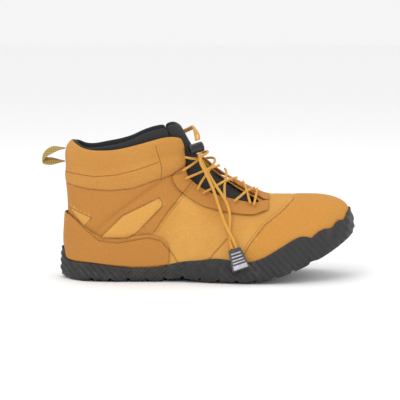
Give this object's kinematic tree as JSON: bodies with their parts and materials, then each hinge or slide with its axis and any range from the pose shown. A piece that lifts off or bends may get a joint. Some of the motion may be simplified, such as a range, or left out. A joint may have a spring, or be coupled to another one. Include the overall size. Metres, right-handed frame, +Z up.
{
  "type": "hiking boot",
  "caption": "Ankle-high hiking boot with a wide toe, curled rubber cup sole, padded collar and round laces held by a cord lock.",
  "frame": {"origin": "on the floor, under the middle of the heel's flat lug", "axes": "+X towards the toe, -Y towards the outer side of the foot, +Z up"},
  "size_m": [0.3077, 0.1111, 0.1528],
  "materials": {
    "nubuck": "matte nubuck",
    "nubuck_dark": "matte nubuck",
    "rubber": "matte moulded",
    "textile": "brushed knit",
    "insole_foam": "brushed",
    "webbing": "woven",
    "lace": "braided",
    "lock_plastic": "gloss",
    "clip_plastic": "matte"
  },
  "bodies": {
    "root": {"upper": "nubuck", "outsole": "rubber", "insole": "insole_foam", "tongue": "textile", "collar_cuff": "textile", "eyestay_outer": "nubuck_dark", "eyestay_inner": "nubuck_dark", "heel_counter": "nubuck_dark", "pull_loop": "webbing", "lace_bar": "lace", "lace_crossing_1": "lace", "lace_crossing_2": "lace", "lace_crossing_3": "lace", "lace_crossing_4": "lace", "lace_top": "lace", "cord_lock": "lock_plastic", "lace_end_1": "lace", "lace_end_2": "lace", "cord_clip": "clip_plastic"}
  },
  "joints": []
}
